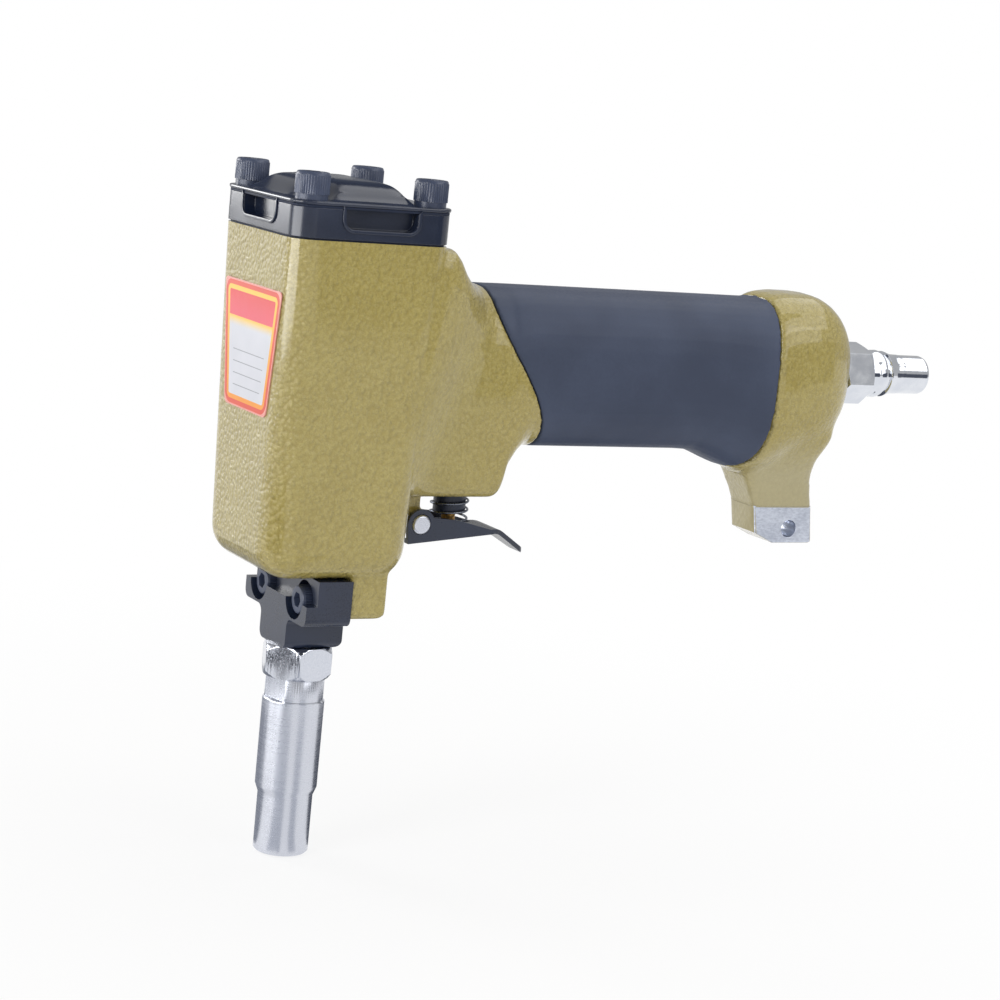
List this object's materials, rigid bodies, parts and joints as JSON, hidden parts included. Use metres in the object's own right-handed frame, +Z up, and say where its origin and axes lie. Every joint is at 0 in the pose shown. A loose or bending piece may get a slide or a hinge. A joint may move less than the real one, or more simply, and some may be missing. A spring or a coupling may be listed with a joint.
{
  "type": "air-driven upholstery nail gun",
  "caption": "Pneumatic upholstery nail gun: cast body with rubber grip, threaded nail barrel with lock nut, sprung trigger and valve, piston driver, vented black cap and chrome air plug.",
  "frame": {"origin": "centre of the barrel's lower rim, on the axis of the nail recess", "axes": "+Z up along the barrel and the piston, +X back along the handle to the air plug, +Y to the tool's far side"},
  "size_m": [0.2339, 0.0526, 0.1981],
  "materials": {
    "gold_body": "olive gold hammered paint on cast aluminium",
    "black_cap": "satin black paint on cast aluminium",
    "black_sheet": "satin black paint on pressed sheet steel",
    "black_oxide": "black oxide on steel screws",
    "black_steel": "blackened steel",
    "bright_steel": "turned steel",
    "bright_zinc": "bright zinc plate on steel",
    "chrome_plug": "bright plated steel",
    "spring_steel": "drawn spring wire",
    "bare_aluminium": "machined",
    "bronze": "machined bronze",
    "slate_rubber": "matt slate black rubber",
    "black_rubber": "matt black rubber",
    "black_plastic": "moulded acetal",
    "pale_plastic": "moulded acetal",
    "label_print": null
  },
  "bodies": {
    "tool_body": {"body_casting": "gold_body", "cap_gasket": "black_rubber", "cap_seat": "black_cap", "exhaust_gasket": "black_rubber", "exhaust_deflector": "black_sheet", "cap_spring_washers": "black_oxide", "cap_screws": "black_oxide", "cylinder_sleeve": "bare_aluminium", "cylinder_orings": "black_rubber", "bumper": "black_rubber", "driver_guide": "bronze", "head_valve_spring": "spring_steel", "exhaust_seal": "black_rubber", "grip_sleeve": "slate_rubber", "air_plug": "chrome_plug", "valve_body": "black_plastic", "valve_body_orings": "black_rubber", "trigger_spring": "spring_steel", "trigger_pin": "bright_steel", "nose_block": "black_steel", "nose_screws": "black_oxide", "lock_nut": "bright_zinc", "barrel": "bright_steel", "nail_magnet": "bright_steel", "front_label": "label_print"},
    "trigger": {"trigger": "black_steel"},
    "valve_stem": {"valve_stem": "bronze", "valve_stem_oring": "black_rubber"},
    "head_valve": {"head_valve": "pale_plastic", "head_valve_oring": "black_rubber"},
    "piston": {"piston": "bare_aluminium", "piston_oring": "black_rubber", "driver_rod": "bright_steel"}
  },
  "joints": [
    {"name": "trigger_pull", "type": "hinge", "parent": "tool_body", "child": "trigger", "pos_m": [0.0323, 0, 0.0981], "axis": [0, -1, 0], "range_deg": [0, 12], "stiffness_Nm_per_rad": 0.5, "springref_deg": -11.46, "deforming": ["trigger_spring"]},
    {"name": "valve_stem_slide", "type": "slide", "parent": "tool_body", "child": "valve_stem", "axis": [0, 0, 1], "range_m": [0, 0.0026]},
    {"name": "head_valve_lift", "type": "slide", "parent": "tool_body", "child": "head_valve", "axis": [0, 0, 1], "range_m": [0, 0.004], "stiffness_N_per_m": 800, "springref_m": -0.003, "deforming": ["head_valve_spring"]},
    {"name": "piston_stroke", "type": "slide", "parent": "tool_body", "child": "piston", "axis": [0, 0, -1], "range_m": [0, 0.046]}
  ],
  "couplings": [
    {"joint": "valve_stem_slide", "follows": "trigger_pull", "m_per_rad": 0.0124}
  ]
}
